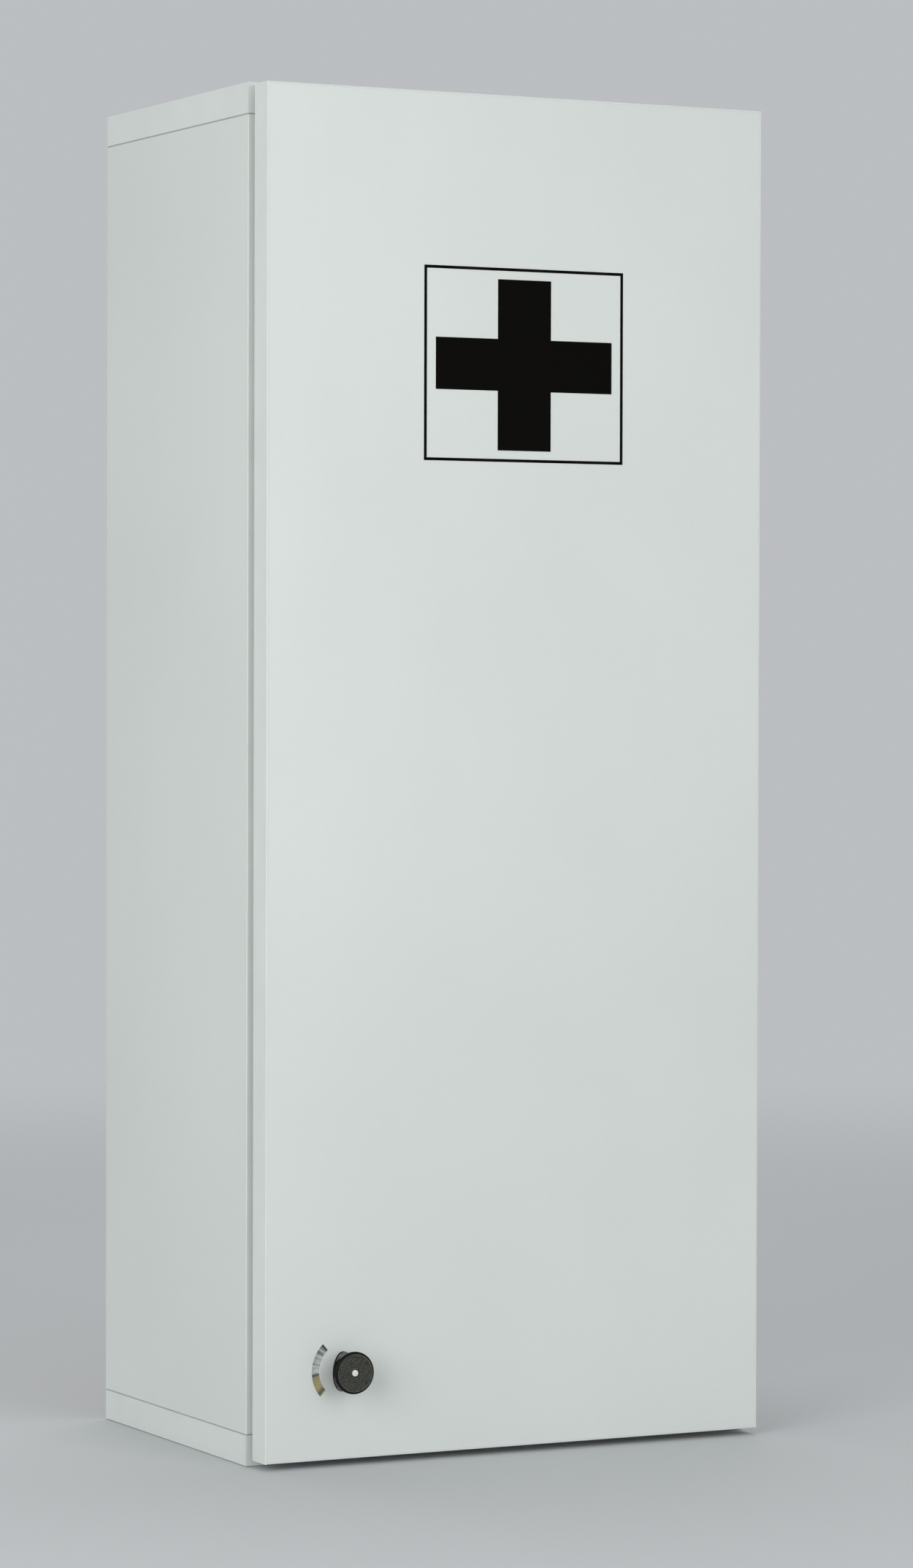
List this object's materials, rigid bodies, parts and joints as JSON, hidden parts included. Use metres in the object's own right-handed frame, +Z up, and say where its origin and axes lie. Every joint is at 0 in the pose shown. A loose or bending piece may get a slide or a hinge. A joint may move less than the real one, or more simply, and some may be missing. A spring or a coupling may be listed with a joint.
{
  "type": "lockable medicine cabinet",
  "caption": "Tall wall cabinet of white board with shelves and one overlay door on a continuous hinge, closed by a turn knob that swings a cam behind a strike.",
  "frame": {"origin": "middle of the base, on the surface that the cabinet stands on", "axes": "+Z up, +Y from the door to the wall, +X to the right as seen from the front"},
  "size_m": [0.293, 0.2175, 0.7],
  "materials": {
    "white_board": "satin white melamine on chipboard",
    "edge_band": "satin white plastic band",
    "back_board": "white lacquered hardboard",
    "raw_board": "bare chipboard",
    "dowel_wood": "fluted beech",
    "zinc": "bright zinc casting",
    "steel": "zinc plated steel",
    "hinge_steel": "nickel plated strip",
    "black_film": "matt black film",
    "cover_white": "satin white plastic, flush with the door",
    "case_black": "black moulded plastic",
    "knob_black": "rough black cast zinc",
    "indicator_steel": "radially brushed steel",
    "indicator_gold": "yellow passivated foil",
    "button_white": "ivory white plastic",
    "bumper_clear": "soft translucent bumper"
  },
  "bodies": {
    "carcass": {"top_panel": "white_board", "bottom_panel": "white_board", "left_side": "white_board", "right_side": "white_board", "carcass_edging": "edge_band", "back_panel": "back_board", "hanging_rail": "raw_board", "cam_housings": "zinc", "cam_bolts": "steel", "dowels": "dowel_wood", "shelf_low": "white_board", "shelf_mid": "white_board", "shelf_high": "white_board", "shelf_edging": "edge_band", "shelf_pins": "steel", "strike_plate": "steel", "strike_screws": "steel", "hinge_leaf_carcass": "hinge_steel", "hinge_screws_carcass": "steel", "hinge_pin": "steel"},
    "door": {"door_panel": "white_board", "door_edging": "edge_band", "cross_mark": "black_film", "mark_outline": "black_film", "hinge_leaf_door": "hinge_steel", "hinge_screws_door": "steel", "lock_cover": "cover_white", "lock_case": "case_black", "lock_case_screws": "steel", "door_bumpers": "bumper_clear"},
    "lock_rotor": {"knob": "knob_black", "knob_grub_screw": "steel", "spindle": "steel", "indicator_disc": "indicator_steel", "indicator_sector": "indicator_gold", "turn_limiter": "steel", "lock_cam": "steel", "cam_washer": "steel", "cam_screw": "steel", "button_spring": "steel"},
    "button": {"release_button": "button_white"}
  },
  "joints": [
    {"name": "door_hinge", "type": "hinge", "parent": "carcass", "child": "door", "pos_m": [0.1466, -0.0926, 0.35], "axis": [0, 0, 1], "range_deg": [0, 180]},
    {"name": "knob_turn", "type": "hinge", "parent": "door", "child": "lock_rotor", "pos_m": [-0.1005, -0.1102, 0.0492], "axis": [0, 1, 0], "range_deg": [0, 90]},
    {"name": "button_push", "type": "slide", "parent": "lock_rotor", "child": "button", "axis": [0, 1, 0], "range_m": [0, 0.002], "stiffness_N_per_m": 500, "springref_m": -0.001, "deforming": ["button_spring"]}
  ]
}
